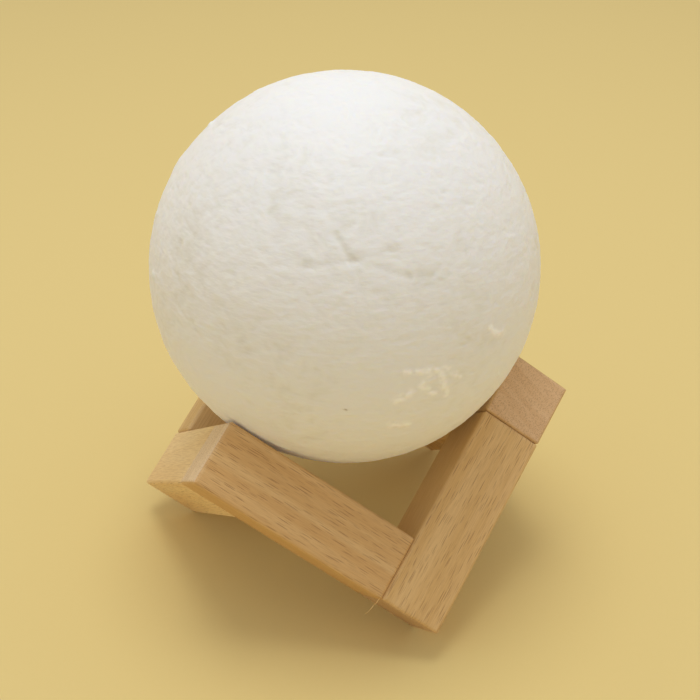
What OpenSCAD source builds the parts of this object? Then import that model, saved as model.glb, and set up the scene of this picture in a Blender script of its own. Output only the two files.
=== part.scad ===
// Moon lamp: a printed moon globe resting on a zigzag ring of six beech bars.
// Millimetres, +Z up. The origin is on the table, under the middle of the stand.
//
// The six bars lie along six edges of a cube that stands on one corner, so the ring
// has three low corners to stand on and three high corners. The globe settles into
// the upper cube corner, on the flat faces of three bars.

/* [Globe] */
// Outer diameter of the moon globe
globe_d = 120; // [110:1:135]
// Thickness of the printed shell
shell_wall = 2; // [1.5:0.1:3]
// Diameter of the flat at the bottom of the globe that the base sits on
base_d = 50; // [49:1:58]
// Width of the flat ring of shell between the base's rim and the hole
shell_land = 2; // [1.5:0.1:3]
// Gap that keeps the globe's skin clear of the bars it rests on
rest_gap = 0.2; // [0.1:0.05:0.4]
// Number of shallow craters spread over the globe
crater_count = 64; // [40:1:80]
// Radius of the smallest crater
crater_min_r = 2.5; // [1.5:0.5:4]
// Radius of the widest crater
crater_max_r = 8; // [6:0.5:9]

/* [Stand] */
// Side of the square section of a bar
bar_w = 21; // [18:0.5:25]
// Length of a bar
bar_l = 67; // [60:1:76]
// Rounding of the sanded edges of a bar
edge_r = 1.2; // [0.5:0.1:2]
// Diameter of the dowel that pins a bar's end to the side of the next bar
dowel_d = 6; // [5:0.5:8]
// Length of a dowel
dowel_l = 24; // [18:1:28]

/* [Base unit] */
// Thickness of the rim that shows round the base
rim_t = 2.2; // [1.6:0.1:3]
// Wall of the housing that holds the electronics
housing_wall = 1.6; // [1.2:0.1:2.4]
// Wall of the collar that is glued into the globe
collar_wall = 1.5; // [1.2:0.1:2]
// Height of the collar above the seat
collar_h = 8; // [6:0.5:12]
// Thickness of the bottom cover
cover_t = 2; // [1.6:0.1:2.5]
// Diameter of the shank of a small screw
screw_d = 2; // [1.6:0.1:2.5]
// Length of the shank of a cover screw
screw_l = 7; // [5:0.5:8]

/* [Control] */
// Thickness of the circuit boards
board_t = 1.6; // [1:0.2:2]
// Clear height between the cover and the control board
board_gap = 6; // [5.5:0.5:8]
// Diameter of the power button
button_d = 6; // [5:0.5:8]
// How far the button stands out of the cover
button_proud = 0.8; // [0.4:0.1:1.5]
// How far the button travels
button_travel = 0.5; // [0.3:0.1:0.8]
// Width of the mouth of the charging socket
port_w = 8.9; // [8:0.1:10]
// Height of the mouth of the charging socket
port_h = 3.2; // [3:0.1:4]
// Distance of the socket's middle, and the button's, from the cover's edge
port_edge = 8.7; // [8:0.1:10]
// Diameter of the indicator lens
lens_d = 2; // [1.5:0.1:3]

/* [Battery] */
// Gap on each side of the lithium cell, to a board boss and to the leads
cell_side_gap = 0.9; // [0.5:0.1:2]
// Gap from each end of the lithium cell to a cover boss
cell_end_gap = 0.8; // [0.5:0.1:3]
// Gap between the control board and the lithium cell
cell_under_gap = 2; // [1:0.5:6]
// Thickness of the foam pad over the lithium cell
pad_t = 1; // [0.5:0.5:3]

/* [Light] */
// Height of the light plate above the housing
post_h = 22; // [15:1:40]
// Outer diameter of the post that carries the light plate
post_d = 14; // [13:0.5:15]
// Wall of the post
post_wall = 2; // [1.2:0.1:2]
// Diameter of the light plate
plate_d = 26; // [26:1:32]
// Number of light emitters round the plate
led_count = 6; // [4:2:6]
// Side of one light emitter
led_size = 5; // [3:0.1:5]
// Wall of the opal cap over the emitters
cap_wall = 1.5; // [1:0.1:2]
// Diameter of one insulated lead
lead_d = 1.1; // [0.8:0.1:1.2]

/* [Hidden] */

$fn = 96;
// How far a cutting tool runs past the face it cuts
eps = 0.5;
// Radial clearance of a part that slides
run_fit = 0.08;
// Radial clearance of a glued or screwed part
glue_fit = 0.05;

// Stand, in a frame whose three axes run along the edges of the standing cube
cube_half = (bar_l + bar_w) / 2;
bar_mid = cube_half - bar_w / 2;
tilt = acos(1 / sqrt(3));
// Rounding lifts the lowest tip of a sharp corner by this much
tip_rise = edge_r * (sqrt(3) - sqrt(1.5));
stand_z = (cube_half + bar_w) / sqrt(3) - tip_rise;
dowel_bore_r = dowel_d / 2 + glue_fit;
bore_depth = dowel_l / 2 + eps;

// Globe: its centre lies on the stand's upright axis, one radius from each seat face
globe_r = globe_d / 2;
globe_z = stand_z + sqrt(3) * (globe_r + rest_gap + bar_w - cube_half);
base_r = base_d / 2;
hole_r = base_r - shell_land;
inner_r = globe_r - shell_wall;
// Heights from here on are measured from the globe's centre
seat_z = -sqrt(pow(globe_r, 2) - pow(base_r, 2));
rim_z = seat_z - rim_t;
shell_in_z = -sqrt(pow(inner_r, 2) - pow(hole_r, 2));

// Craters: a spiral of equal turns spaces them evenly over the globe, and the golden
// share, which never repeats, scatters their sizes, with many small and few wide
golden_turn = 180 * (3 - sqrt(5));
golden_share = (sqrt(5) - 1) / 2;
crater_slope = 0.05;
crater_seat_gap = 4;
function share(k) = k * golden_share - floor(k * golden_share);
function crater_r(k) = crater_min_r + (crater_max_r - crater_min_r) * pow(share(k), 3);
function crater_height(k) = 1 - (2 * k + 1) / crater_count;

// Collar: its lip lies on the inside of the shell
collar_lip_w = 3;
collar_lip_r = hole_r + collar_lip_w;
collar_lip_z = -sqrt(pow(inner_r, 2) - pow(collar_lip_r, 2));
collar_bore_r = hole_r - collar_wall;
collar_top_z = seat_z + collar_h;

// Housing: a cup, open downwards, with a rim and three snap lugs above the collar
housing_r = collar_bore_r - run_fit;
housing_in_r = housing_r - housing_wall;
snap_reach = 0.8;
snap_h = 2.4;
snap_gap = 0.1;
snap_z = collar_top_z + snap_gap;
snap_arc = 24;
snap_count = 3;

// Screws: shank, head, and the boss that each goes into
boss_wall = 1.5;
shank_r = screw_d / 2;
pilot_r = shank_r + glue_fit;
boss_r = shank_r + boss_wall;
head_r = screw_d * 0.9;
head_h = screw_d * 0.6;
head_fit = 0.2;
drive_w = screw_d * 0.2;

// Cover, and the bosses for its screws, which grow out of the housing's wall
cover_fit = 0.15;
boss_sink = 0.3;
cover_r = housing_in_r - cover_fit;
cover_in_z = rim_z + cover_t;
cover_boss_ring = housing_in_r - boss_r + boss_sink;
cover_boss_angles = [0, 110, 250];

// Control board, hung from the ceiling on bosses
board_z = cover_in_z + board_gap;
board_top_z = board_z + board_t;
board_wall_gap = 1;
board_edge = 0.7;
board_r = housing_in_r - board_wall_gap;
board_boss_ring = board_r - boss_r - board_edge;
board_boss_angles = [60, 180, 300];
board_screw_l = 5;

// The light plate's leads run in a row up through the post, beside the cell
lead_r = lead_d / 2;
lead_count = 3;
lead_pitch = 1.5;
lead_row_x = 3.2;

// Lithium cell, as large as fits between the bosses and the leads, under the ceiling
board_boss_in = board_boss_ring - boss_r;
cover_boss_in = cover_boss_ring * sin(cover_boss_angles[1]) - boss_r;
cell_cap_h = 0.8;
cell_d = board_boss_in + lead_row_x - lead_r - 2 * cell_side_gap;
cell_l = 2 * (cover_boss_in - cell_cap_h - cell_end_gap);
cell_r = cell_d / 2;
cell_x = board_boss_in - cell_side_gap - cell_r;
cell_z = board_top_z + cell_under_gap + cell_r;
cell_cap_r = cell_r * 0.45;
ceiling_z = cell_z + cell_r + pad_t;
housing_top_z = ceiling_z + housing_wall;
pad_w = cell_d * 0.7;
pad_l = cell_l * 0.8;
lead_gap = 0.3;
lead_bend_r = lead_d * 1.5;
battery_lead_x = cell_cap_r + lead_gap + lead_r - cell_x;

// Button, switch, socket and indicator, all reached through the cover
port_y = cover_r - port_edge;
button_r = button_d / 2;
button_y = -port_y;
button_lip = 0.8;
button_lip_r = button_r + button_lip;
button_top_z = cover_in_z + button_lip;
plunger_z = button_top_z + button_travel + glue_fit;
plunger_r = 1.6;
plunger_h = 0.7;
switch_w = 6;
lens_x = 9;
lens_r = lens_d / 2;
lens_lip = 0.6;
lens_gap = 0.8;
lens_lip_r = lens_r + lens_lip;
lens_top_z = board_z - lens_gap;
port_wall = 0.35;
port_back = 1.2;
tongue_t = 0.7;
tongue_side = 1.2;
tongue_w = port_w - 2 * tongue_side;
tongue_set_in = 0.8;

// Post, light plate, emitters and cap
post_r = post_d / 2;
post_in_r = post_r - post_wall;
post_top_z = housing_top_z + post_h;
foot_t = 2;
post_screw_gap = 0.4;
post_screw_ring = post_r + head_r + post_screw_gap;
foot_r = post_screw_ring + boss_r;
post_screw_angles = [-50, 50];
post_screw_l = 6;
plate_r = plate_d / 2;
plate_t = 1.6;
plate_screw_edge = 0.6;
plate_screw_ring = plate_r - head_r - plate_screw_edge;
plate_screw_angles = [30, 210];
plate_screw_l = 3.2;
led_edge = 3;
led_ring = plate_r - led_size / 2 - led_edge;
led_t = 1.6;
cap_in_r = plate_r + glue_fit;
cap_seat_r = cap_in_r + glue_fit;
cap_r = cap_in_r + cap_wall;

beech = [0.77, 0.61, 0.43];
moon_white = [0.93, 0.92, 0.88];
plastic_white = [0.9, 0.9, 0.88];

// ---- Stand ----

// A square with round corners, centred
module round_square(size, r) {
    square([size[0] - 2 * r, size[1]], center = true);
    square([size[0], size[1] - 2 * r], center = true);
    for (x = [-1, 1], y = [-1, 1])
        translate([x * (size[0] / 2 - r), y * (size[1] / 2 - r)])
            circle(r = r);
}

// A block with every edge rounded, centred, as three crossing round-cornered prisms
module sanded_block(size, r) {
    intersection() {
        linear_extrude(size[2], center = true)
            round_square([size[0], size[1]], r);
        rotate([90, 0, 0])
            linear_extrude(size[1], center = true)
                round_square([size[0], size[2]], r);
        rotate([90, 0, 90])
            linear_extrude(size[0], center = true)
                round_square([size[1], size[2]], r);
    }
}

// Stands a cube-frame piece on its corner and moves it to place k of six round the
// ring: each step is a sixth of a turn, and every other one is flipped top to bottom.
module ring_place(k) {
    translate([0, 0, stand_z])
        rotate([0, 0, 60 * k])
            mirror([0, 0, k % 2])
                rotate([0, 0, 90])
                    rotate([0, -tilt, 0])
                        rotate([0, 0, -45])
                            children();
}

// One bar: its near end covers the previous bar's end, its far end butts on the next
module bar(k) {
    color(beech)
        ring_place(k)
            difference() {
                translate([-bar_w / 2, -bar_mid, bar_mid])
                    sanded_block([bar_l, bar_w, bar_w], edge_r);
                // dowel bore in the far end
                translate([cube_half - bar_w - bore_depth, -bar_mid, bar_mid])
                    rotate([0, 90, 0])
                        cylinder(r = dowel_bore_r, h = bore_depth + eps);
                // dowel bore in the side, where the previous bar butts
                translate([-bar_mid, -cube_half + bar_w + eps, bar_mid])
                    rotate([90, 0, 0])
                        cylinder(r = dowel_bore_r, h = bore_depth + eps);
            }
}

module dowel_pins() {
    color([0.85, 0.7, 0.5])
        for (k = [0:5])
            ring_place(k)
                translate([cube_half - bar_w - dowel_l / 2, -bar_mid, bar_mid])
                    rotate([0, 90, 0])
                        cylinder(r = dowel_d / 2, h = dowel_l);
}

// ---- Globe ----

module at_globe() {
    translate([0, 0, globe_z])
        children();
}

// A shallow bowl of that radius, cut by a large ball, at each place of the spiral
module craters() {
    for (k = [0:crater_count - 1]) {
        r = crater_r(k);
        sag = crater_slope * r;
        ball_r = (pow(r, 2) + pow(sag, 2)) / (2 * sag);
        if (globe_r * crater_height(k) - r > seat_z + crater_seat_gap)
            rotate([0, -asin(crater_height(k)), golden_turn * k])
                translate([sqrt(pow(globe_r, 2) - pow(r, 2)) - sag + ball_r, 0, 0])
                    sphere(r = ball_r);
    }
}

module moon_shell() {
    color(moon_white)
        at_globe()
            difference() {
                sphere(r = globe_r);
                sphere(r = inner_r);
                craters();
                // flat at the bottom that the base's rim sits on
                translate([0, 0, -2 * globe_r + seat_z])
                    cylinder(r = globe_r, h = 2 * globe_r);
                // round hole for the base
                translate([0, 0, seat_z - eps])
                    cylinder(r = hole_r, h = shell_in_z - seat_z + shell_wall + eps);
            }
}

// Collar glued into the hole: its lip follows the inside of the shell
module shell_collar() {
    color(plastic_white)
        at_globe()
            rotate_extrude()
                polygon([
                    [collar_bore_r, seat_z],
                    [hole_r, seat_z],
                    [hole_r, shell_in_z],
                    [collar_lip_r, collar_lip_z],
                    [collar_lip_r, collar_lip_z + collar_wall],
                    [hole_r, collar_lip_z + 2 * collar_wall],
                    [hole_r, collar_top_z],
                    [collar_bore_r, collar_top_z]
                ]);
}

// Places children at each listed angle on a ring
module on_ring(radius, angles) {
    for (a = angles)
        rotate([0, 0, a])
            translate([radius, 0, 0])
                children();
}

// A pan-head screw with its head below the origin and its shank upwards
module screw_up(shank) {
    cylinder(r = shank_r, h = shank);
    difference() {
        translate([0, 0, -head_h])
            cylinder(r = head_r, h = head_h);
        for (a = [0, 90])
            rotate([0, 0, a])
                translate([-head_r * 0.6, -drive_w / 2, -head_h - eps])
                    cube([head_r * 1.2, drive_w, eps + head_h / 2]);
    }
}

module snap_lugs() {
    for (k = [0:snap_count - 1])
        rotate([0, 0, 360 / snap_count * k])
            rotate_extrude(angle = snap_arc)
                polygon([
                    [housing_r - glue_fit, snap_z],
                    [housing_r + snap_reach, snap_z],
                    [housing_r + snap_reach, snap_z + snap_h / 3],
                    [housing_r - glue_fit, snap_z + snap_h]
                ]);
}

module base_housing() {
    color(plastic_white)
        at_globe()
            difference() {
                union() {
                    rotate_extrude()
                        polygon([
                            [housing_in_r, rim_z],
                            [base_r - rim_t / 3, rim_z],
                            [base_r, rim_z + rim_t / 3],
                            [base_r, seat_z],
                            [housing_r, seat_z],
                            [housing_r, housing_top_z],
                            [0, housing_top_z],
                            [0, ceiling_z],
                            [housing_in_r, ceiling_z]
                        ]);
                    snap_lugs();
                    on_ring(cover_boss_ring, cover_boss_angles)
                        translate([0, 0, cover_in_z])
                            cylinder(r = boss_r, h = ceiling_z - cover_in_z + glue_fit);
                    on_ring(board_boss_ring, board_boss_angles)
                        translate([0, 0, board_top_z])
                            cylinder(r = boss_r, h = ceiling_z - board_top_z + glue_fit);
                    on_ring(post_screw_ring, post_screw_angles)
                        translate([0, 0, housing_top_z - post_screw_l])
                            cylinder(r = boss_r, h = post_screw_l - glue_fit);
                }
                on_ring(cover_boss_ring, cover_boss_angles)
                    translate([0, 0, cover_in_z - eps])
                        cylinder(r = pilot_r, h = screw_l + eps);
                on_ring(board_boss_ring, board_boss_angles)
                    translate([0, 0, board_top_z - eps])
                        cylinder(r = pilot_r, h = board_screw_l + eps);
                on_ring(post_screw_ring, post_screw_angles)
                    translate([0, 0, housing_top_z - post_screw_l + foot_t / 2])
                        cylinder(r = pilot_r, h = post_screw_l);
                translate([0, 0, ceiling_z - eps])
                    cylinder(r = post_in_r, h = housing_wall + 2 * eps);
            }
}

// A slot with round ends, lying along X
module slot_shape(w, h) {
    square([w - h, h], center = true);
    for (x = [-1, 1])
        translate([x * (w - h) / 2, 0])
            circle(d = h);
}

module base_cover() {
    socket_w = port_w + 2 * (port_wall + run_fit);
    socket_h = port_h + 2 * (port_wall + run_fit);
    color(plastic_white)
        at_globe()
            difference() {
                translate([0, 0, rim_z])
                    cylinder(r = cover_r, h = cover_t);
                translate([0, port_y, rim_z - eps])
                    linear_extrude(cover_t + 2 * eps)
                        slot_shape(socket_w, socket_h);
                translate([0, button_y, rim_z - eps])
                    cylinder(r = button_r + run_fit, h = cover_t + 2 * eps);
                translate([lens_x, 0, rim_z - eps])
                    cylinder(r = lens_r + glue_fit, h = cover_t + 2 * eps);
                on_ring(cover_boss_ring, cover_boss_angles) {
                    translate([0, 0, rim_z - eps])
                        cylinder(r = pilot_r, h = cover_t + 2 * eps);
                    translate([0, 0, rim_z - eps])
                        cylinder(r = head_r + head_fit, h = head_h + eps);
                }
            }
}

module cover_screws() {
    color([0.6, 0.6, 0.62])
        at_globe()
            on_ring(cover_boss_ring, cover_boss_angles)
                translate([0, 0, rim_z + head_h])
                    screw_up(screw_l);
}

// The board is notched where the cover's bosses pass it
module control_board() {
    color([0.1, 0.4, 0.22])
        at_globe()
            translate([0, 0, board_z])
                difference() {
                    cylinder(r = board_r, h = board_t);
                    on_ring(cover_boss_ring, cover_boss_angles)
                        translate([0, 0, -eps])
                            cylinder(r = boss_r + head_fit, h = board_t + 2 * eps);
                    on_ring(board_boss_ring, board_boss_angles)
                        translate([0, 0, -eps])
                            cylinder(r = pilot_r, h = board_t + 2 * eps);
                }
}

module board_screws() {
    color([0.6, 0.6, 0.62])
        at_globe()
            on_ring(board_boss_ring, board_boss_angles)
                translate([0, 0, board_z])
                    screw_up(board_t + board_screw_l - eps);
}

// Metal mouth of the charging socket, standing on the board, with a closed back
module charge_port() {
    color([0.7, 0.7, 0.72])
        at_globe()
            difference() {
                translate([0, port_y, rim_z])
                    linear_extrude(board_z - rim_z)
                        slot_shape(port_w + 2 * port_wall, port_h + 2 * port_wall);
                translate([0, port_y, rim_z - eps])
                    linear_extrude(board_z - rim_z - port_back + eps)
                        slot_shape(port_w, port_h);
            }
}

module port_tongue() {
    color([0.15, 0.15, 0.16])
        at_globe()
            translate([-tongue_w / 2, port_y - tongue_t / 2, rim_z + tongue_set_in])
                cube([tongue_w, tongue_t, board_z - rim_z - port_back - tongue_set_in]);
}

module tact_switch() {
    body_z = plunger_z + plunger_h;
    color([0.2, 0.2, 0.22])
        at_globe()
            translate([0, button_y, 0]) {
                translate([-switch_w / 2, -switch_w / 2, body_z])
                    cube([switch_w, switch_w, board_z - body_z]);
                translate([0, 0, plunger_z])
                    cylinder(r = plunger_r, h = plunger_h + glue_fit);
            }
}

// Domed cap that shows below the cover, kept in by its lip
module power_button() {
    dome = button_proud / 2;
    color([0.75, 0.75, 0.76])
        at_globe()
            translate([0, button_y, 0])
                rotate_extrude()
                    polygon([
                        [0, rim_z - button_proud],
                        [button_r - dome, rim_z - button_proud],
                        [button_r, rim_z - button_proud + dome],
                        [button_r, cover_in_z],
                        [button_lip_r, cover_in_z],
                        [button_lip_r, button_top_z],
                        [0, button_top_z]
                    ]);
}

module indicator_lens() {
    color([0.85, 0.95, 0.9])
        at_globe()
            translate([lens_x, 0, 0])
                rotate_extrude()
                    polygon([
                        [0, rim_z],
                        [lens_r, rim_z],
                        [lens_r, cover_in_z],
                        [lens_lip_r, cover_in_z],
                        [lens_lip_r, lens_top_z],
                        [0, lens_top_z]
                    ]);
}

module at_cell() {
    at_globe()
        translate([-cell_x, 0, cell_z])
            children();
}

module battery_cell() {
    color([0.2, 0.45, 0.75])
        at_cell()
            rotate([90, 0, 0]) {
                cylinder(r = cell_r, h = cell_l, center = true);
                cylinder(r = cell_cap_r, h = cell_l + 2 * cell_cap_h, center = true);
            }
}

// Foam saddle that sticks the cell to the housing's ceiling
module cell_pad() {
    color([0.3, 0.3, 0.32])
        at_cell()
            difference() {
                translate([-pad_w / 2, -pad_l / 2, 0])
                    cube([pad_w, pad_l, cell_r + pad_t]);
                rotate([90, 0, 0])
                    cylinder(r = cell_r + glue_fit, h = pad_l + 2 * eps, center = true);
            }
}

// One lead from each end of the cell, bent down to the control board
module battery_leads() {
    drop = cell_z - lead_bend_r - board_top_z;
    color([0.75, 0.1, 0.1])
        at_globe()
            for (side = [0, 1])
                mirror([0, side, 0])
                    translate([battery_lead_x, cell_l / 2, cell_z - lead_bend_r]) {
                        rotate([90, 0, 90])
                            rotate_extrude(angle = 90)
                                translate([lead_bend_r, 0])
                                    circle(r = lead_r, $fn = 24);
                        translate([0, lead_bend_r, -drop])
                            cylinder(r = lead_r, h = drop, $fn = 24);
                    }
}

module lamp_post() {
    color(plastic_white)
        at_globe()
            difference() {
                rotate_extrude()
                    polygon([
                        [post_in_r, housing_top_z],
                        [foot_r, housing_top_z],
                        [foot_r, housing_top_z + foot_t],
                        [post_r, housing_top_z + foot_t],
                        [post_r, post_top_z - foot_t - post_wall],
                        [cap_r, post_top_z - foot_t],
                        [cap_r, post_top_z],
                        [post_in_r, post_top_z]
                    ]);
                on_ring(post_screw_ring, post_screw_angles)
                    translate([0, 0, housing_top_z - eps])
                        cylinder(r = pilot_r, h = foot_t + 2 * eps);
                on_ring(plate_screw_ring, plate_screw_angles)
                    translate([0, 0, post_top_z - foot_t - post_wall])
                        cylinder(r = pilot_r, h = foot_t + post_wall + eps);
            }
}

module post_screws() {
    color([0.6, 0.6, 0.62])
        at_globe()
            on_ring(post_screw_ring, post_screw_angles)
                translate([0, 0, housing_top_z + foot_t])
                    mirror([0, 0, 1])
                        screw_up(post_screw_l);
}

module led_plate() {
    color([0.8, 0.8, 0.82])
        at_globe()
            translate([0, 0, post_top_z])
                difference() {
                    cylinder(r = plate_r, h = plate_t);
                    on_ring(plate_screw_ring, plate_screw_angles)
                        translate([0, 0, -eps])
                            cylinder(r = pilot_r, h = plate_t + 2 * eps);
                }
}

module plate_screws() {
    color([0.6, 0.6, 0.62])
        at_globe()
            on_ring(plate_screw_ring, plate_screw_angles)
                translate([0, 0, post_top_z + plate_t])
                    mirror([0, 0, 1])
                        screw_up(plate_screw_l);
}

module led_emitters() {
    color([0.95, 0.88, 0.45])
        at_globe()
            on_ring(led_ring, [for (k = [0:led_count - 1]) 360 / led_count * k])
                translate([-led_size / 2, -led_size / 2, post_top_z + plate_t])
                    cube([led_size, led_size, led_t]);
}

// Three straight leads from the control board, up the post, to the light plate
module led_leads() {
    color([0.15, 0.15, 0.15])
        at_globe()
            for (k = [0:lead_count - 1])
                translate([lead_row_x, (k - (lead_count - 1) / 2) * lead_pitch, board_top_z])
                    cylinder(r = lead_r, h = post_top_z - board_top_z, $fn = 24);
}

// Opal dome that spreads the light, standing on the post's top flange
module opal_cap() {
    color([0.97, 0.96, 0.92])
        at_globe()
            translate([0, 0, post_top_z])
                difference() {
                    sphere(r = cap_r);
                    sphere(r = cap_in_r);
                    // straight seat round the plate's edge
                    translate([0, 0, -eps])
                        cylinder(r = cap_seat_r, h = plate_t + run_fit + eps);
                    translate([0, 0, -2 * cap_r])
                        cylinder(r = 2 * cap_r, h = 2 * cap_r);
                }
}

bar(0);  // bar_front_right
bar(1);  // bar_right
bar(2);  // bar_back_right
bar(3);  // bar_back_left
bar(4);  // bar_left
bar(5);  // bar_front_left
dowel_pins();
moon_shell();
shell_collar();
base_housing();
base_cover();
cover_screws();
control_board();
board_screws();
charge_port();
port_tongue();
tact_switch();
power_button();
indicator_lens();
battery_cell();
cell_pad();
battery_leads();
lamp_post();
post_screws();
led_plate();
plate_screws();
led_emitters();
led_leads();
opal_cap();
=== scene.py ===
"""Moon lamp: a printed globe that rests on a ring of six square beech bars."""

import math

import bpy
import numpy as np
from mathutils import Matrix, Vector, noise


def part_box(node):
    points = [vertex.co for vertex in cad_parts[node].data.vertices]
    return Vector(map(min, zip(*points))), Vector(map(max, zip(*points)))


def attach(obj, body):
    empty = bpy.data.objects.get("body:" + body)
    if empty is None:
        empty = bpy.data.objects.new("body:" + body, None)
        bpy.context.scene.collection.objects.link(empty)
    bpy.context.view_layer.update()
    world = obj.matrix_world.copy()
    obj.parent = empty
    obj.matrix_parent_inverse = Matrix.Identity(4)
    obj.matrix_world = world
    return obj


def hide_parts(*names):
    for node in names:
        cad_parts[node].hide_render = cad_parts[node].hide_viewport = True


MM = 0.001

# Camera, as the photograph was taken: place in metres, angles in degrees
CAMERA_PLACE = (-0.1253, -0.3012, 0.2703)
CAMERA_AZIMUTH = 23.02
CAMERA_DOWN = 31.32
CAMERA_FOCAL_PX = 1184
CAMERA_SHIFT_PX = 3
PHOTO_PX = 700
SENSOR_MM = 36

# Studio, in metres: the paper and the two tones of its tooth, the key lamp, and the sky,
# which has its full tone from this height above the horizon on, where overhead is 1
FLOOR_HALF = 3.0
FLOOR_HEX = "#E3CA86"
TOOTH_HEX = "#E2C984"
KEY_PLACE = (0, 0.08, 1.2)
KEY_AIM = (0, 0, 0.08)
KEY_SIZE = 0.6
KEY_WATTS = 4.6
SKY_HEX = "#F8FAFF"
SKY_LEVEL = 0.72
HORIZON_HEX = "#DCC090"
HORIZON_RISE = 0.4

# Globe: the columns and rings of its mesh
GLOBE_COLUMNS = 640
GLOBE_ROWS = 300
INNER_ROWS = 40
# The opening for the base unit, the outer edge of the flat seat round it, and the wall
HOLE_R = 23 * MM
SEAT_R = 25 * MM
SHELL_WALL = 2 * MM
# Corners that turn by more than this stay sharp, in degrees
SHARP_CORNER = 50

# The relief is nothing at the seat and has its full height this far above it
SMOOTH_NEAR_SEAT = 9 * MM
# This percentage of the outside's points stands at most this far above the true sphere, in mm
BELOW_PEAKS = 99.9
RELIEF_ABOVE = 0.1
# The printed ground: the width and height of its swell, its lumps, its wrinkles and its finest
# ripples, in mm. Wrinkles and ripples are wide along the layers and closer across them.
SWELL_WIDTH = 26
SWELL_HEIGHT = 0.22
LUMP_WIDTH = 5
LUMP_HEIGHT = 0.15
WRINKLE_WIDTH = 3.2
WRINKLE_PITCH = 1.2
WRINKLE_HEIGHT = 0.07
WRINKLE_STEEPNESS = 2.2
RIPPLE_WIDTH = 1.8
RIPPLE_PITCH = 1
RIPPLE_HEIGHT = 0.05
# Lumps on the lumps: how fast they fade, how much finer each kind is, and how many kinds
LUMPS_ON_LUMPS = (0.9, 2.1, 3)
# Lumps, wrinkles and ripples are bent: over what width and how far, in mm. The fixed start
# value makes every run give the same globe.
WANDER_WIDTH = 9
WANDER_REACH = 2.5
WANDER_SEED = 7

# Craters with the sizes and the spread of the part's own shell, in mm, but flatter: the power
# that keeps most of them small, and how many radii out they fade to nothing
CRATER_COUNT = 64
CRATER_MIN_R = 2.5
CRATER_MAX_R = 8.0
CRATER_SLOPE = 0.03
CRATER_RARITY = 3
CRATER_RIM = 1.25
GOLDEN_TURN = math.pi * (3 - math.sqrt(5))
GOLDEN_SHARE = (math.sqrt(5) - 1) / 2

# What is plain to see on the globe's front and left, as longitude and latitude in degrees.
# How far each line reaches to either side, and how deep or high it is, are in mm.
CREASE_REACH = 1.7
CREASE_DEPTH = 0.15
CREASES = [
    [(-124, 27.5), (-110.6, 29.4), (-103.3, 30.9), (-94, 32)],
    [(-110.6, 29.4), (-103, 27.2), (-95.3, 24.6), (-88, 23.5)],
    [(-115, 35.7), (-110.6, 29.4)],
]
STRAND_REACH = 1.6
STRAND_HEIGHT = 0.24
# Raised strands and spots, whitened by a painted highlight
PAINTED_HIGHLIGHT_STRANDS = [
    [(-97, -1.6), (-91, -2.3), (-85, -3.3)],
    [(-86.5, -3), (-86.2, -6), (-83.8, -12.6)],
    [(-84, -3.6), (-80.5, -7.4)],
    [(-92.3, -6.8), (-88, -10.8)],
    [(-91.6, -5.7), (-90, -4.8)],
    [(-70.4, 4.2), (-67.4, 1.2), (-64.7, 0.6)],
]
SPOT_REACH = 2.6
PAINTED_HIGHLIGHT_SPOTS = [[(-98.8, -10.3), (-95.6, -8.6)], [(-99.4, -20.2), (-95, -21.6)]]
# Strands and spots are broken up: the length of a break, how full they are, and how clearly
BREAK_LENGTH = 1.5
BREAK_FILL = 0.6
BREAK_CONTRAST = 1.3
DOT_REACH = 0.6
DARK_DOT = [(-112.7, -12.6), (-112.4, -12.6)]
# Low bumps that show on the outline: place, and reach and height in mm
EDGE_BUMPS = [
    ((165.4, 21.7), 2.4, 0.42),
    ((177.3, 7.9), 2.2, 0.4),
    ((148.5, 48.2), 2.6, 0.5),
    ((129, 61), 2.2, 0.32),
    ((153.2, 35), 6.5, 0.38),
    ((-16, 41), 5, 0.25),
]

# The print's tones: the painted shade of its hollows and its ground, with the relief in mm where
# each is reached, then the painted highlight on its strands, and the dark dot
PAINTED_SHADE_HEX = "#DCDAD0"
PAINTED_SHADE_AT = -0.62
GROUND_HEX = "#EAEAE8"
GROUND_AT = -0.14
PAINTED_HIGHLIGHT_HEX = "#FFFFFF"
DOT_HEX = "#A3947E"
# Painted glow: the shell emits a faint light of its own, standing in for daylight that the thin
# shell passes on from its far side, which keeps its crevices light
PAINTED_GLOW_HEX = "#FFF3DC"
PAINTED_SHELL_GLOW = 0.045

# Stand: its bars lie along edges of a cube that stands on one corner. The ring turns by a
# sixth for each bar, and every other bar is upside down.
CUBE_EDGES = [
    Vector((math.sqrt(0.5), 1 / math.sqrt(6), 1 / math.sqrt(3))),
    Vector((-math.sqrt(0.5), 1 / math.sqrt(6), 1 / math.sqrt(3))),
    Vector((0, -2 / math.sqrt(6), 1 / math.sqrt(3))),
]
BARS = [
    "bar_front_right",
    "bar_right",
    "bar_back_right",
    "bar_back_left",
    "bar_left",
    "bar_front_left",
]
# How far each bar's rays are turned about its length, in degrees. At 0 they end on its upper
# outer face.
RAY_TURNS = [0, 14, 40, 25, 78, 0]
# The darker and the paler tone of each bar's faces and of its end grain. Painted light: the left
# bar's faces, and a little the back left bar's, are paler for the light on their sides, and the
# front left bar's end grain is paler for the light on its end.
FACE_TONES_AND_PAINTED_LIGHT = [
    ("#D2AA6C", "#DDB87E"),
    ("#D0A972", "#DBB884"),
    ("#CDA670", "#DAB783"),
    # Painted light: the back left bar's faces are a shade paler for the light on them
    ("#D3AE76", "#DFBE88"),
    # Painted light: the left bar's faces are paler for the light that falls on them
    ("#EBC890", "#F2D6A4"),
    ("#D0A569", "#DBB57C"),
]
END_TONES_AND_PAINTED_LIGHT = [
    ("#C09B70", "#CDAB82"),
    ("#D2AB7E", "#DDB98E"),
    ("#C09B70", "#CDAB82"),
    ("#CDAA7E", "#DABA90"),
    ("#CDAA7E", "#DABA90"),
    # Painted light: the front left bar's end grain is paler for the light on it
    ("#DCBE98", "#EAD0AE"),
]
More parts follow.
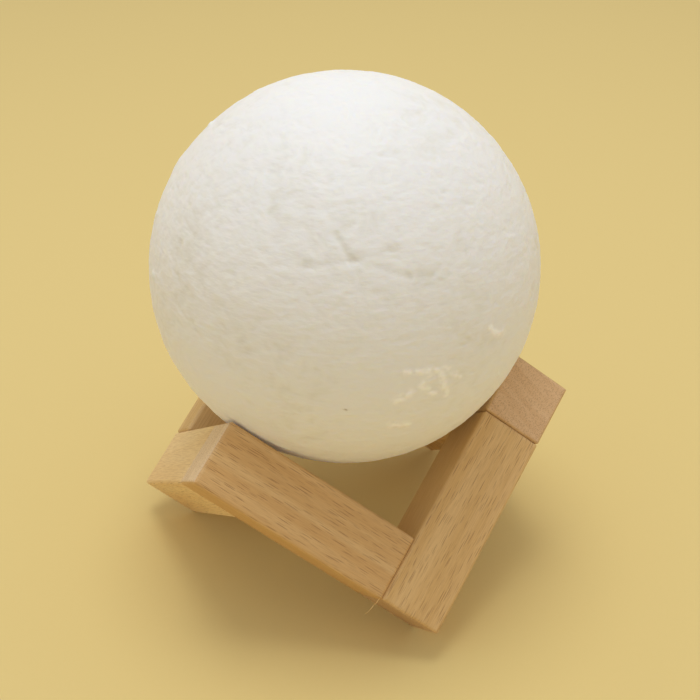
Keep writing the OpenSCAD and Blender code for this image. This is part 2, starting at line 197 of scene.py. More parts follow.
# The rays' flecks and the darkest fibres on the faces, and the pores on the end grain
FLECK_HEX = "#7A4D2A"
FIBRE_HEX = "#AA7F4E"
PORE_HEX = "#8B6541"
# One fleck lies in each cell of this length and width in mm. From its middle it reaches this
# share of the cell's sides, at least and at most, and this share of its tone shows.
BROAD_CELL = (18, 0.8)
NARROW_CELL = (12, 0.6)
FLECK_REACH = (0.1, 0.15)
FLECK_SHARE = 0.54

# The torn fibre's bend under the near joint, in mm, its thickness, and how much of that is
# gone at its tip
TORN_PATH = [
    (-15.2, -62.7, 24.6),
    (-16.48, -63.32, 23.58),
    (-17.3, -63.55, 23.2),
    (-17.98, -63.78, 22.93),
    (-18.8, -64.1, 22.4),
    (-19.54, -64.4, 22.06),
    (-20.3, -64.6, 21.8),
    (-20.95, -64.69, 21.65),
]
TORN_R = 0.16 * MM
TORN_TAPER = 0.75
TORN_SIDES = 6

# Nodes: a mix node set to RGBA takes its colours at 6 and 7 and gives one at 2. A map range
# node takes what it maps from at 1 and 2, and what it maps to at 3 and 4. It eases when it is
# SOFT, and noise lies mostly within NOISE_SPAN.
RGBA = {"data_type": "RGBA"}
SOFT = {"interpolation_type": "SMOOTHSTEP"}
NOISE_SPAN = {1: 0.3, 2: 0.7}


# ---------------------------------------------------------------- colours, objects and nodes


def linear(hexcode):
    """An sRGB hex colour as linear RGBA."""
    parts = [int(hexcode[i : i + 2], 16) / 255 for i in (1, 3, 5)]
    curve = [c / 12.92 if c <= 0.04045 else ((c + 0.055) / 1.055) ** 2.4 for c in parts]
    return (*curve, 1.0)


def link(name, data):
    """A new object in the scene."""
    thing = bpy.data.objects.new(name, data)
    bpy.context.scene.collection.objects.link(thing)
    return thing


def add(tree, kind, sockets, out=0, **settings):
    """One output of a new node. Its sockets go by name, or by number where names repeat, and
    each is linked or takes a value."""
    node = tree.nodes.new(kind)
    for name, value in settings.items():
        setattr(node, name, value)
    for name, value in sockets.items():
        if isinstance(value, bpy.types.NodeSocket):
            tree.links.new(value, node.inputs[name])
        else:
            node.inputs[name].default_value = value
    return node.outputs[out] if node.outputs else node


def new_material(name):
    """An empty material and its tree."""
    material = bpy.data.materials.new(name)
    material.use_nodes = True
    material.node_tree.nodes.clear()
    return material, material.node_tree


def grain_place(tree, lengths, centre=(0, 0, 0), turn=None):
    """The piece's points in a turned frame, from a centre, counted in these lengths in mm."""
    points = add(tree, "ShaderNodeTexCoord", {}, "Object")
    sockets = {
        "Vector": points,
        "Location": centre,
        "Rotation": (turn or Matrix.Identity(3)).to_euler("XYZ"),
        "Scale": [length * MM for length in lengths],
    }
    return add(tree, "ShaderNodeMapping", sockets, vector_type="TEXTURE")


# ---------------------------------------------------------------- materials


def bar_axes(index):
    """A bar's centre, and its frame: along the grain, across the rays, along the rays."""
    low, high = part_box(BARS[index])
    turn = Matrix.Rotation(math.radians(360 / len(BARS) * index), 3, "Z")
    if index % 2:
        turn = turn @ Matrix.Diagonal((1, 1, -1))
    along = turn @ CUBE_EDGES[0]
    rays = turn @ CUBE_EDGES[1 if index % 2 else 2]
    rays = Matrix.Rotation(math.radians(RAY_TURNS[index]), 3, along) @ rays
    across = rays.cross(along)
    return (low + high) / 2, Matrix((along, across, rays)).transposed()


def ray_flecks(tree, bar, sway, cell):
    """Spindle-shaped flecks, one in each cell of that size in mm: 1 inside, 0 outside."""
    place = grain_place(tree, (*cell, 1), *bar)
    swayed = add(
        tree,
        "ShaderNodeVectorMath",
        {0: sway, 1: (0.3, 1.2 / cell[1], 0), 2: place},
        operation="MULTIPLY_ADD",
    )
    distance = add(
        tree, "ShaderNodeTexVoronoi", {"Vector": swayed, "Scale": 1.0}, voronoi_dimensions="2D"
    )
    size = add(tree, "ShaderNodeSeparateColor", {"Color": distance.node.outputs["Color"]})
    half = add(tree, "ShaderNodeMapRange", {0: size, 3: FLECK_REACH[0], 4: FLECK_REACH[1]})
    inside = add(tree, "ShaderNodeMath", {0: half, 1: distance}, operation="SUBTRACT")
    return add(tree, "ShaderNodeMapRange", {0: inside, 1: -0.01, 2: 0.04}, **SOFT)


def beech(index):
    """Steamed beech, planed, sanded and left bare: pinkish tan with short dark ray flecks on the
    faces that cut the rays end on, fine straight fibres, and speckled end grain."""
    material, tree = new_material("beech_" + BARS[index])
    bar = bar_axes(index)
    along, across = (tuple(bar[1].col[i]) for i in (0, 1))
    normal = add(tree, "ShaderNodeTexCoord", {}, "Normal")
    facing = add(
        tree, "ShaderNodeVectorMath", {0: normal, 1: along}, "Value", operation="DOT_PRODUCT"
    )
    facing = add(tree, "ShaderNodeMath", {0: facing}, operation="ABSOLUTE")
    at_end = add(tree, "ShaderNodeMapRange", {0: facing, 1: 0.7, 2: 0.95}, **SOFT)
    radial = add(
        tree, "ShaderNodeVectorMath", {0: normal, 1: across}, "Value", operation="DOT_PRODUCT"
    )
    radial = add(tree, "ShaderNodeMath", {0: radial}, operation="ABSOLUTE")
    tangential = add(tree, "ShaderNodeMapRange", {0: radial, 1: 0.95, 2: 0.55}, **SOFT)

    # Rays are thin sheets that sway a little. Their flecks come out about 2 to 5 mm long and
    # 0.1 to 0.2 mm thick.
    sway = add(
        tree,
        "ShaderNodeTexNoise",
        {"Vector": grain_place(tree, (30, 12, 9), *bar), "Scale": 1.0, "Detail": 1.0},
        "Color",
    )
    broad = ray_flecks(tree, bar, sway, BROAD_CELL)
    narrow = ray_flecks(tree, bar, sway, NARROW_CELL)
    narrow = add(tree, "ShaderNodeMath", {0: narrow, 1: 0.6}, operation="MULTIPLY")
    flecks = add(tree, "ShaderNodeMath", {0: broad, 1: narrow}, operation="MAXIMUM")
    flecks = add(tree, "ShaderNodeMath", {0: flecks, 1: tangential}, operation="MULTIPLY")

    # Fibres are 0.02 mm thick and are drawn 0.3 mm, so that they show
    fibres = add(
        tree,
        "ShaderNodeTexNoise",
        {
            "Vector": grain_place(tree, (8, 0.3, 0.3), *bar),
            "Scale": 1.0,
            "Detail": 3.0,
            "Roughness": 0.6,
        },
    )
    bands = add(
        tree,
        "ShaderNodeTexNoise",
        {"Vector": grain_place(tree, (90, 3.2, 16), *bar), "Scale": 1.0, "Detail": 2.0},
    )
    # For the left and back left bars these tones carry painted light on their faces
    tones = [linear(tone) for tone in FACE_TONES_AND_PAINTED_LIGHT[index]]
    share = add(tree, "ShaderNodeMapRange", {0: bands, **NOISE_SPAN}, **SOFT)
    face = add(tree, "ShaderNodeMix", {0: share, 6: tones[0], 7: tones[1]}, 2, **RGBA)
    share = add(tree, "ShaderNodeMapRange", {0: fibres, 1: 0.62, 2: 0.3, 4: 0.34}, **SOFT)
    face = add(tree, "ShaderNodeMix", {0: share, 6: face, 7: linear(FIBRE_HEX)}, 2, **RGBA)
    share = add(tree, "ShaderNodeMath", {0: flecks, 1: FLECK_SHARE}, operation="MULTIPLY")
    face = add(tree, "ShaderNodeMix", {0: share, 6: face, 7: linear(FLECK_HEX)}, 2, **RGBA)

    # End grain: faint growth rings across the rays, and pores of 0.05 mm drawn 0.3 mm wide
    rings = add(
        tree,
        "ShaderNodeTexNoise",
        {"Vector": grain_place(tree, (30, 22, 2), *bar), "Scale": 1.0, "Detail": 3.0},
    )
    pores = add(
        tree,
        "ShaderNodeTexNoise",
        {"Vector": grain_place(tree, (9, 0.3, 0.45), *bar), "Scale": 1.0, "Detail": 1.0},
    )
    # For the front left bar these tones carry painted light on its end
    tones = [linear(tone) for tone in END_TONES_AND_PAINTED_LIGHT[index]]
    share = add(tree, "ShaderNodeMapRange", {0: rings, 1: 0.2, 2: 0.8}, **SOFT)
    end = add(tree, "ShaderNodeMix", {0: share, 6: tones[0], 7: tones[1]}, 2, **RGBA)
    share = add(tree, "ShaderNodeMapRange", {0: pores, 1: 0.5, 2: 0.3, 4: 0.42}, **SOFT)
    end = add(tree, "ShaderNodeMix", {0: share, 6: end, 7: linear(PORE_HEX)}, 2, **RGBA)

    colour = add(tree, "ShaderNodeMix", {0: at_end, 6: face, 7: end}, 2, **RGBA)
    rough = add(tree, "ShaderNodeMapRange", {0: fibres, **NOISE_SPAN, 3: 0.6, 4: 0.48})
    sunk = add(tree, "ShaderNodeMath", {0: flecks, 1: 0.4}, operation="MULTIPLY")
    height = add(tree, "ShaderNodeMath", {0: fibres, 1: sunk}, operation="SUBTRACT")
    relief = add(tree, "ShaderNodeBump", {"Height": height, "Distance": 0.05 * MM})
    wood = add(
        tree,
        "ShaderNodeBsdfPrincipled",
        {"Base Color": colour, "Roughness": rough, "Normal": relief, "IOR": 1.5},
    )
    add(tree, "ShaderNodeOutputMaterial", {"Surface": wood})
    return material


def printed_pla():
    """White PLA, printed in thin layers: matte, and a little see-through at the skin, so that its
    shadows stay soft; painted shade darkens the hollows, a painted highlight whitens the loose
    strands, which are also glossier, and a faint painted glow lightens the crevices."""
    material, tree = new_material("printed_pla")
    # Layers are 0.1 mm on the real print. They are drawn 3.14 mm apart and very shallow: a wave
    # node draws 3.18 bands in its unit, which is 10 mm here.
    layers = add(
        tree,
        "ShaderNodeTexWave",
        {"Vector": grain_place(tree, (1, 1, 10)), "Scale": 1.0},
        "Fac",
        wave_type="BANDS",
        bands_direction="Z",
    )
    wrinkles = add(
        tree,
        "ShaderNodeTexNoise",
        {"Vector": grain_place(tree, (2.6, 2.6, 1.1)), "Scale": 1.0, "Detail": 4.0},
    )
    relief = add(tree, "ShaderNodeAttribute", {}, "Fac", attribute_name="relief_mm")
    strands = add(tree, "ShaderNodeAttribute", {}, "Fac", attribute_name="strands")
    dot = add(tree, "ShaderNodeMath", {0: strands, 1: -1.0}, operation="MULTIPLY", use_clamp=True)
    painted_highlight_and_gloss = add(tree, "ShaderNodeMath", {0: strands, 1: 1.0}, operation="MULTIPLY", use_clamp=True)
    # Painted shade: the lower the relief, the darker the tone
    share = add(tree, "ShaderNodeMapRange", {0: relief, 1: PAINTED_SHADE_AT, 2: GROUND_AT}, **SOFT)
    colour = add(
        tree, "ShaderNodeMix", {0: share, 6: linear(PAINTED_SHADE_HEX), 7: linear(GROUND_HEX)}, 2, **RGBA
    )
    # Painted highlight: the strands and spots are mixed towards white
    colour = add(tree, "ShaderNodeMix", {0: painted_highlight_and_gloss, 6: colour, 7: linear(PAINTED_HIGHLIGHT_HEX)}, 2, **RGBA)
    colour = add(tree, "ShaderNodeMix", {0: dot, 6: colour, 7: linear(DOT_HEX)}, 2, **RGBA)
    rough = add(tree, "ShaderNodeMapRange", {0: wrinkles, **NOISE_SPAN, 3: 0.64, 4: 0.52})
    gleam = add(tree, "ShaderNodeMath", {0: painted_highlight_and_gloss, 1: 0.3}, operation="MULTIPLY")
    rough = add(tree, "ShaderNodeMath", {0: rough, 1: gleam}, operation="SUBTRACT")
    fine = add(tree, "ShaderNodeBump", {"Height": wrinkles, "Distance": 0.16 * MM})
    skin = add(tree, "ShaderNodeBump", {"Height": layers, "Distance": 0.012 * MM, "Normal": fine})
    pla = add(
        tree,
        "ShaderNodeBsdfPrincipled",
        {
            "Base Color": colour,
            "Roughness": rough,
            "Normal": skin,
            "IOR": 1.46,
            "Subsurface Weight": 0.7,
            "Subsurface Radius": (1.0, 0.85, 0.6),
            "Subsurface Scale": 1.6 * MM,
            # Painted glow: a faint emission lightens the shell's crevices
            "Emission Color": linear(PAINTED_GLOW_HEX),
            "Emission Strength": PAINTED_SHELL_GLOW,
        },
    )
    add(tree, "ShaderNodeOutputMaterial", {"Surface": pla})
    return material


def one_grain(name, lengths, tones, roughs, depth_mm, flow=None, **sockets):
    """A finish whose roughness and relief follow one grain of these lengths in mm, and whose
    tone follows the same grain or a slower flow."""
    material, tree = new_material(name)
    grain = add(
        tree,
        "ShaderNodeTexNoise",
        {"Vector": grain_place(tree, lengths), "Scale": 1.0, "Detail": 3.0},
    )
    flowing = add(
        tree,
        "ShaderNodeTexNoise",
        {"Vector": grain_place(tree, flow or lengths), "Scale": 1.0, "Detail": 3.0},
    )
    share = add(tree, "ShaderNodeMapRange", {0: flowing, **NOISE_SPAN}, **SOFT)
    colour = add(
        tree, "ShaderNodeMix", {0: share, 6: linear(tones[0]), 7: linear(tones[1])}, 2, **RGBA
    )
    rough = add(tree, "ShaderNodeMapRange", {0: grain, **NOISE_SPAN, 3: roughs[0], 4: roughs[1]})
    relief = add(tree, "ShaderNodeBump", {"Height": grain, "Distance": depth_mm * MM})
    shader = add(
        tree,
        "ShaderNodeBsdfPrincipled",
        {"Base Color": colour, "Roughness": rough, "Normal": relief},
    )
    for socket, value in sockets.items():
        shader.node.inputs[socket.replace("_", " ")].default_value = value
    add(tree, "ShaderNodeOutputMaterial", {"Surface": shader})
    return material


def white_abs():
    """ABS, moulded over a spark-eroded tool: a satin off-white that breaks up slightly close to."""
    tones = ("#E9E8E3", "#F1F0EC")
    return one_grain("white_abs", [0.4] * 3, tones, (0.36, 0.48), 0.01, [14] * 3, IOR=1.54)


def black_polycarbonate():
    """Black polycarbonate, moulded: the socket's tongue and the switch, near black and satin."""
    tones = ("#1B1B1D", "#232326")
    return one_grain("black_pc", [0.4] * 3, tones, (0.34, 0.46), 0.01, [14] * 3, IOR=1.58)


def grey_abs():
    """Grey ABS, moulded with a satin grain: the button, a shade darker than the cover."""
    tones = ("#C9C9C6", "#D3D3D0")
    return one_grain("grey_abs", [0.4] * 3, tones, (0.32, 0.44), 0.01, [8] * 3, IOR=1.54)


def opal_acrylic():
    """Opal acrylic, moulded: milky and smooth, it hides the single lights under it."""
    tones = ("#EFEFEA", "#F6F6F2")
    return one_grain(
        "opal_acrylic",
        [0.5] * 3,
        tones,
        (0.26, 0.34),
        0.005,
        [12] * 3,
        IOR=1.49,
        Subsurface_Weight=0.5,
        Subsurface_Radius=(1, 1, 1),
        Subsurface_Scale=2 * MM,
    )


def clear_polycarbonate():
    """Clear polycarbonate, moulded: the small window that shows the charging light."""
    tones = ("#F2F4F4", "#F8FAFA")
    return one_grain(
        "clear_pc", [0.4] * 3, tones, (0.08, 0.16), 0.004, IOR=1.58, Transmission_Weight=0.6
    )


def zinc_plated_steel():
    """Zinc-plated steel, tumbled: bright bluish grey with faint random scratches."""
    tones = ("#B9BEC4", "#CDD1D5")
    return one_grain("zinc_steel", (0.3, 0.3, 1.2), tones, (0.24, 0.4), 0.008, Metallic=1.0)


def nickel_plated_steel():
    """Nickel-plated steel, drawn: a bright socket sleeve with streaks along its draw."""
    tones = ("#C6C4BE", "#D8D6D0")
    return one_grain("nickel_steel", (0.15, 0.15, 5), tones, (0.18, 0.34), 0.008, Metallic=1.0)


def rolled_aluminium():
    """Aluminium sheet, rolled: pale grey with fine streaks along the roll."""
    tones = ("#C9CBCC", "#DDDEDF")
    return one_grain("aluminium", (8, 0.12, 0.12), tones, (0.3, 0.46), 0.008, Metallic=1.0)


def shrunk_pvc_sleeve():
    """PVC sleeve shrunk round the lithium cell: blue, glossy, with faint lengthwise creases."""
    tones = ("#2F6FA8", "#3B7FBA")
    return one_grain("pvc_sleeve", (1.1, 12, 1.1), tones, (0.34, 0.22), 0.05, IOR=1.53)


def red_pvc_lead():
    """Red PVC, extruded round the cell's leads: a slight shine and fine draw lines."""
    tones = ("#A51C1A", "#BC2A24")
    return one_grain("red_pvc", (0.2, 0.2, 4), tones, (0.32, 0.44), 0.01, IOR=1.53)


def black_pvc_lead():
    """Black PVC, extruded round the lights' leads: a slight shine and fine draw lines."""
    tones = ("#1E1E20", "#2A2A2D")
    return one_grain("black_pvc", (0.2, 0.2, 4), tones, (0.32, 0.44), 0.01, IOR=1.53)


def cast_phosphor():
    """Phosphor in silicone, cast in the light chips: a dull egg yellow with fine grains."""
    tones = ("#E2C455", "#F0DA7E")
    return one_grain("cast_phosphor", [0.25] * 3, tones, (0.45, 0.6), 0.03, IOR=1.41)


def turned_beech():
    """Beech dowel, turned and fluted: paler than the bars, with fine fibres."""
    tones = ("#D9BC93", "#C7A478")
    return one_grain("turned_beech", [0.4] * 3, tones, (0.6, 0.7), 0.05, IOR=1.5)


def split_fibre():
    """A fibre torn from beech: golden, and paler along its length."""
    tones = ("#C79A55", "#DDB878")
    return one_grain("split_fibre", [0.8] * 3, tones, (0.5, 0.65), 0.03, IOR=1.5)


def circuit_board():
    """Glass epoxy board with a green solder mask: glossy, with the weave and the copper tracks
    showing as slightly paler lines under it."""
    material, tree = new_material("green_solder_mask")
    weave = add(
        tree,
        "ShaderNodeTexChecker",
        {"Vector": grain_place(tree, [0.6] * 3), "Scale": 1.0},
        "Fac",
    )
    tracks = add(
        tree,
        "ShaderNodeTexBrick",
        {
            "Vector": grain_place(tree, [1] * 3),
            "Scale": 0.32,
            "Mortar Size": 0.05,
            "Mortar Smooth": 0.2,
        },
        "Fac",
    )
    share = add(tree, "ShaderNodeMath", {0: weave, 1: 0.3}, operation="MULTIPLY")
    colour = add(
        tree, "ShaderNodeMix", {0: share, 6: linear("#14512F"), 7: linear("#1A6038")}, 2, **RGBA
    )
    share = add(tree, "ShaderNodeMath", {0: tracks, 1: 0.6}, operation="MULTIPLY")
    colour = add(tree, "ShaderNodeMix", {0: share, 6: colour, 7: linear("#2E8A52")}, 2, **RGBA)
    rough = add(tree, "ShaderNodeMapRange", {0: tracks, 3: 0.28, 4: 0.2})
    relief = add(tree, "ShaderNodeBump", {"Height": tracks, "Distance": 0.035 * MM})
    mask = add(
        tree,
        "ShaderNodeBsdfPrincipled",
        {"Base Color": colour, "Roughness": rough, "Normal": relief, "IOR": 1.55},
    )
    add(tree, "ShaderNodeOutputMaterial", {"Surface": mask})
    return material


def polyethylene_foam():
    """Closed-cell polyethylene foam, skived: dark grey, dull, with open bubbles 0.5 mm across."""
    material, tree = new_material("polyethylene_foam")
    bubbles = add(
        tree, "ShaderNodeTexVoronoi", {"Vector": grain_place(tree, [0.5] * 3), "Scale": 1.0}
    )
    share = add(tree, "ShaderNodeMapRange", {0: bubbles, 1: 0.1, 2: 0.6}, **SOFT)
    colour = add(
        tree, "ShaderNodeMix", {0: share, 6: linear("#3A3B3D"), 7: linear("#5A5C5F")}, 2, **RGBA
    )
    relief = add(tree, "ShaderNodeBump", {"Height": bubbles, "Distance": 0.15 * MM})
    foam = add(
        tree,
        "ShaderNodeBsdfPrincipled",
        {"Base Color": colour, "Roughness": 0.9, "Normal": relief},
    )
    add(tree, "ShaderNodeOutputMaterial", {"Surface": foam})
    return material


def background_paper():
    """Background paper, rolled: matte and even, with a faint tooth."""
    material, tree = new_material("background_paper")
    tooth = add(
        tree, "ShaderNodeTexNoise", {"Vector": grain_place(tree, [1.5] * 3), "Scale": 1.0}
    )
    colour = add(
        tree, "ShaderNodeMix", {0: tooth, 6: linear(TOOTH_HEX), 7: linear(FLOOR_HEX)}, 2, **RGBA
    )
    paper = add(
        tree,
        "ShaderNodeBsdfPrincipled",
        {"Base Color": colour, "Roughness": 0.9, "Specular IOR Level": 0.2},
    )
    add(tree, "ShaderNodeOutputMaterial", {"Surface": paper})
    return material


def dress_nodes():
    """Every CAD node that stays gets the material of its real piece."""
    finishes = [(beech(index), [bar]) for index, bar in enumerate(BARS)]
    finishes += [
        (turned_beech(), ["dowel_pins"]),
        (white_abs(), ["shell_collar", "base_housing", "base_cover", "lamp_post"]),
        (zinc_plated_steel(), ["cover_screws", "board_screws", "post_screws", "plate_screws"]),
        (circuit_board(), ["control_board"]),
        (nickel_plated_steel(), ["charge_port"]),
        (black_polycarbonate(), ["port_tongue", "tact_switch"]),
        (grey_abs(), ["power_button"]),
        (clear_polycarbonate(), ["indicator_lens"]),
        (shrunk_pvc_sleeve(), ["battery_cell"]),
        (polyethylene_foam(), ["cell_pad"]),
        (red_pvc_lead(), ["battery_leads"]),
        (black_pvc_lead(), ["led_leads"]),
        (rolled_aluminium(), ["led_plate"]),
        (cast_phosphor(), ["led_emitters"]),
        (opal_acrylic(), ["opal_cap"]),
    ]
    for material, nodes in finishes:
        for node in nodes:
            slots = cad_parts[node].data.materials
            slots.clear()
            slots.append(material)


# ---------------------------------------------------------------- the globe


def smooth_mesh(name, points, faces, material):
    """A smooth-shaded mesh in one material."""
    mesh = bpy.data.meshes.new(name)
    mesh.from_pydata(points, [], faces)
    mesh.polygons.foreach_set("use_smooth", [True] * len(mesh.polygons))
    mesh.materials.append(material)
    return mesh


def toward(longitude, latitude):
    """A direction on the globe from its angles in degrees."""
    lon, lat = math.radians(longitude), math.radians(latitude)
    return np.array([math.cos(lat) * math.cos(lon), math.cos(lat) * math.sin(lon), math.sin(lat)])


def smooth(x):
    """Smooth step from 0 to 1."""
    t = np.clip(x, 0, 1)
    return t * t * (3 - 2 * t)


def stroke(directions, path, reach_mm, radius_mm):
    """How near each direction is to a line drawn on the globe: 1 on it, 0 at its reach."""
    best = np.full(len(directions), np.inf)
    for start, end in zip(path, path[1:]):
        a, b = toward(*start), toward(*end)
        d = b - a
        t = np.clip((directions - a) @ d / (d @ d), 0, 1)
        gap = np.linalg.norm(directions - a - t[:, None] * d, axis=1) * radius_mm
        best = np.minimum(best, gap)
    return smooth(1 - best / reach_mm)


def swell_and_wrinkles(directions, radius_mm):
    """The printed ground in mm: a swell, soft lumps, and wrinkles drawn out along the layers."""
    noise.seed_set(WANDER_SEED)
    heights = []
    for d in directions:
        p = Vector(d) * radius_mm
        q = p + noise.noise_vector(p / WANDER_WIDTH) * WANDER_REACH
        swell = noise.noise(p / SWELL_WIDTH) * SWELL_HEIGHT
        lumps = noise.fractal(q / LUMP_WIDTH, *LUMPS_ON_LUMPS) * LUMP_HEIGHT
        place = Vector((q.x / WRINKLE_WIDTH, q.y / WRINKLE_WIDTH, q.z / WRINKLE_PITCH))
        wrinkle = 1 - abs(noise.noise(place)) * WRINKLE_STEEPNESS
        place = Vector((q.x / RIPPLE_WIDTH, q.y / RIPPLE_WIDTH, q.z / RIPPLE_PITCH))
        ripple = noise.noise(place)
        heights.append(swell + lumps + wrinkle * WRINKLE_HEIGHT + ripple * RIPPLE_HEIGHT)
    return np.array(heights)


def craters(directions, radius_mm):
    """The part's craters as soft bowls in mm: a spiral of equal turns, a few of them wide."""
    height = np.zeros(len(directions))
    for k in range(CRATER_COUNT):
        share = k * GOLDEN_SHARE % 1
        r = CRATER_MIN_R + (CRATER_MAX_R - CRATER_MIN_R) * share**CRATER_RARITY
        z = 1 - (2 * k + 1) / CRATER_COUNT
        flat = math.sqrt(1 - z * z)
        turn = GOLDEN_TURN * k
        v = np.array([flat * math.cos(turn), flat * math.sin(turn), z])
        near = directions @ v > math.cos(CRATER_RIM * r / radius_mm)
        d = np.arccos(np.clip(directions[near] @ v, -1, 1)) * radius_mm / r
        height[near] -= CRATER_SLOPE * r * (1 - smooth(d / CRATER_RIM))
    return height


def strands(directions, radius_mm):
    """Loose printed strands and spots, as 1, which get a painted highlight, and the one dark dot,
    as -1.
    """
    tint = np.zeros(len(directions))
    for path in PAINTED_HIGHLIGHT_STRANDS:
        tint = np.maximum(tint, stroke(directions, path, STRAND_REACH, radius_mm))
    for path in PAINTED_HIGHLIGHT_SPOTS:
        tint = np.maximum(tint, stroke(directions, path, SPOT_REACH, radius_mm))
    for i in np.flatnonzero(tint):
        broken = noise.noise(Vector(directions[i]) * radius_mm / BREAK_LENGTH)
        tint[i] *= min(max(BREAK_FILL + BREAK_CONTRAST * broken, 0), 1)
    return tint - stroke(directions, DARK_DOT, DOT_REACH, radius_mm)


def creases_and_bumps(directions, tint, radius_mm):
    """Soft creases that meet, low bumps that show on the outline, and the raised strands."""
    height = np.zeros(len(directions))
    for path in CREASES:
        height -= CREASE_DEPTH * stroke(directions, path, CREASE_REACH, radius_mm)
    for place, reach, rise in EDGE_BUMPS:
        gap = np.linalg.norm(directions - toward(*place), axis=1) * radius_mm
        height += rise * smooth(1 - gap / reach)
    return height + STRAND_HEIGHT * np.maximum(tint, 0)


def globe_rings():
    """The globe's profile from the top pole down the outside, under the seat and back up inside:
    (height above the centre, radius, rises with the relief) for each ring."""
    low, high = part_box("moon_shell")
    cap = high.z - low.z
    radius = (cap**2 + SEAT_R**2) / (2 * cap)
    seat = radius - cap
    top = math.pi / 2
    bottom = math.asin(seat / radius)
    rings = []
    for i in range(1, GLOBE_ROWS + 1):
        lat = top + (bottom - top) * i / GLOBE_ROWS
        rings.append((radius * math.sin(lat), radius * math.cos(lat), True))
    rings.append((seat, HOLE_R, False))
    inner = radius - SHELL_WALL
    lowest = -math.acos(HOLE_R / inner)
    for i in range(INNER_ROWS):
        lat = lowest + (top - lowest) * i / INNER_ROWS
        rings.append((inner * math.sin(lat), inner * math.cos(lat), False))
    return rings, radius, high.z - radius, seat


def globe_faces(rings, points):
    """Faces between neighbouring rings, and round the pole outside and the pole inside."""
    faces = []
    n = GLOBE_COLUMNS
    outer_pole, inner_pole = 0, points - 1
    for j in range(n):
        k = (j + 1) % n
        faces.append((outer_pole, 1 + j, 1 + k))
        for i in range(rings - 1):
            a = 1 + i * n
            faces.append((a + j, a + n + j, a + n + k, a + k))
        a = 1 + (rings - 1) * n
        faces.append((a + j, inner_pole, a + k))
    return faces


def moon_globe(material):
    """The printed globe as one closed shell, its outside carrying the relief."""
    rings, radius, centre_z, seat = globe_rings()
    turn = np.linspace(0, 2 * math.pi, GLOBE_COLUMNS, endpoint=False)
    cosine, sine = np.cos(turn), np.sin(turn)
    points = [np.array([[0, 0, radius]])]
    outside = [True]
    for z, r, rises in rings:
        points.append(np.stack([r * cosine, r * sine, np.full(GLOBE_COLUMNS, z)], axis=1))
        outside += [rises] * GLOBE_COLUMNS
    points.append(np.array([[0, 0, radius - SHELL_WALL]]))
    outside.append(False)
    co = np.concatenate(points)
    outside = np.array(outside)
    skin = co[outside] / np.linalg.norm(co[outside], axis=1)[:, None]
    radius_mm = radius / MM
    height = swell_and_wrinkles(skin, radius_mm) + craters(skin, radius_mm)
    tint = strands(skin, radius_mm)
    height += creases_and_bumps(skin, tint, radius_mm)
    height -= np.percentile(height, BELOW_PEAKS) - RELIEF_ABOVE
    ease = smooth((co[outside][:, 2] - seat) / SMOOTH_NEAR_SEAT)
    co[outside] += skin * (height * ease * MM)[:, None]
    co[:, 2] += centre_z

    mesh = smooth_mesh("moon_globe", co.tolist(), globe_faces(len(rings), len(co)), material)
    for name, values in (("relief_mm", height), ("strands", tint)):
        field = np.zeros(len(co))
        field[outside] = values
        mesh.attributes.new(name, "FLOAT", "POINT").data.foreach_set("value", field)
    mesh.set_sharp_from_angle(angle=math.radians(SHARP_CORNER))
    globe = link("moon_globe", mesh)
    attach(globe, "globe")
    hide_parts("moon_shell")


# ---------------------------------------------------------------- the stand's torn fibre


def torn_fibre(material):
    """A thin fibre torn from the near joint's lower edge: a thread swept along its bend."""
    path = [Vector(point) * MM for point in TORN_PATH]
    n = TORN_SIDES
    points, faces = [], []
    for i, middle in enumerate(path):
        ahead = path[min(i + 1, len(path) - 1)] - path[max(i - 1, 0)]
        side = ahead.cross(Vector((0, 0, 1))).normalized()
        lift = side.cross(ahead).normalized()
        thick = TORN_R * (1 - TORN_TAPER * i / (len(path) - 1))
        for j in range(n):
            a = 2 * math.pi * j / n
            points.append(middle + (side * math.cos(a) + lift * math.sin(a)) * thick)
    for i in range(len(path) - 1):
        for j in range(n):
            k = (j + 1) % n
            a, b = i * n, (i + 1) * n
            faces.append((a + k, a + j, b + j, b + k))
    faces.append(tuple(range(n)))
    faces.append(tuple(reversed(range(len(points) - n, len(points)))))
    fibre = link("torn_fibre", smooth_mesh("torn_fibre", points, faces, material))
    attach(fibre, "stand")


# ---------------------------------------------------------------- studio


def set_camera():
    """The photograph's own view."""
    data = bpy.data.cameras.new("camera")
    data.sensor_width = SENSOR_MM
    data.lens = CAMERA_FOCAL_PX / PHOTO_PX * SENSOR_MM
    data.shift_x = -CAMERA_SHIFT_PX / PHOTO_PX
    data.clip_start = 0.01
    camera = link("camera", data)
    az, down = math.radians(CAMERA_AZIMUTH), math.radians(CAMERA_DOWN)
    forward = Vector(
        (math.sin(az) * math.cos(down), math.cos(az) * math.cos(down), -math.sin(down))
    )
    camera.location = CAMERA_PLACE
    camera.rotation_euler = forward.to_track_quat("-Z", "Y").to_euler()
    bpy.context.scene.camera = camera


def set_floor():
    """A plain pale floor."""
    h = FLOOR_HALF
    mesh = bpy.data.meshes.new("floor")
    mesh.from_pydata([(-h, -h, 0), (h, -h, 0), (h, h, 0), (-h, h, 0)], [], [(0, 1, 2, 3)])
    mesh.materials.append(background_paper())
    floor = link("floor", mesh)


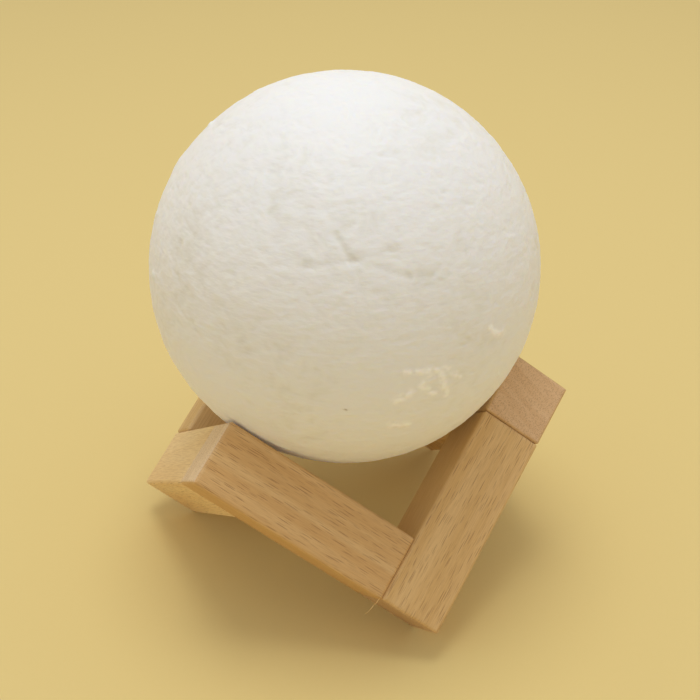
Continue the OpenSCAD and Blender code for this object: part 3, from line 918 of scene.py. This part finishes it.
def set_lights():
    """A soft key from above, and a sky that is dimmer and warmer near the floor, as in a room.
    The camera, glossy surfaces and clear ones see the pale backdrop in its place."""
    lamp = bpy.data.lights.new("key", "AREA")
    lamp.shape = "DISK"
    lamp.size = KEY_SIZE
    lamp.energy = KEY_WATTS
    key = link("key", lamp)
    key.location = KEY_PLACE
    key.rotation_euler = (Vector(KEY_AIM) - key.location).to_track_quat("-Z", "Y").to_euler()

    world = bpy.data.worlds.new("studio")
    world.use_nodes = True
    tree = world.node_tree
    tree.nodes.clear()
    rays = add(tree, "ShaderNodeLightPath", {}).node.outputs
    seen = add(
        tree,
        "ShaderNodeMath",
        {0: rays["Is Camera Ray"], 1: rays["Is Glossy Ray"]},
        operation="MAXIMUM",
    )
    seen = add(
        tree, "ShaderNodeMath", {0: seen, 1: rays["Is Transmission Ray"]}, operation="MAXIMUM"
    )
    direction = add(tree, "ShaderNodeTexCoord", {}, "Generated")
    rise = add(tree, "ShaderNodeSeparateXYZ", {"Vector": direction}, "Z")
    share = add(tree, "ShaderNodeMapRange", {0: rise, 2: HORIZON_RISE}, **SOFT)
    colour = add(
        tree, "ShaderNodeMix", {0: share, 6: linear(HORIZON_HEX), 7: linear(SKY_HEX)}, 2, **RGBA
    )
    sky = add(tree, "ShaderNodeBackground", {"Color": colour, "Strength": SKY_LEVEL})
    backdrop = add(tree, "ShaderNodeBackground", {"Color": linear(FLOOR_HEX), "Strength": 1.0})
    both = add(tree, "ShaderNodeMixShader", {0: seen, 1: sky, 2: backdrop})
    add(tree, "ShaderNodeOutputWorld", {"Surface": both})
    bpy.context.scene.world = world
    bpy.context.scene.view_settings.view_transform = "Standard"


# ---------------------------------------------------------------- the scene

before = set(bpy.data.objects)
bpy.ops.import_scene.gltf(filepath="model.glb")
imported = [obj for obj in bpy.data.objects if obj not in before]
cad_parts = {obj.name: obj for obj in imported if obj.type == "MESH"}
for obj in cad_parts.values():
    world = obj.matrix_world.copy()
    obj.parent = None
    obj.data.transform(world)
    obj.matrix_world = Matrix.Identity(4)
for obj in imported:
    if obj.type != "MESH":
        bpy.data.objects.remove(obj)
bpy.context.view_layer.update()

set_camera()
set_floor()
set_lights()
dress_nodes()
moon_globe(printed_pla())
torn_fibre(split_fibre())
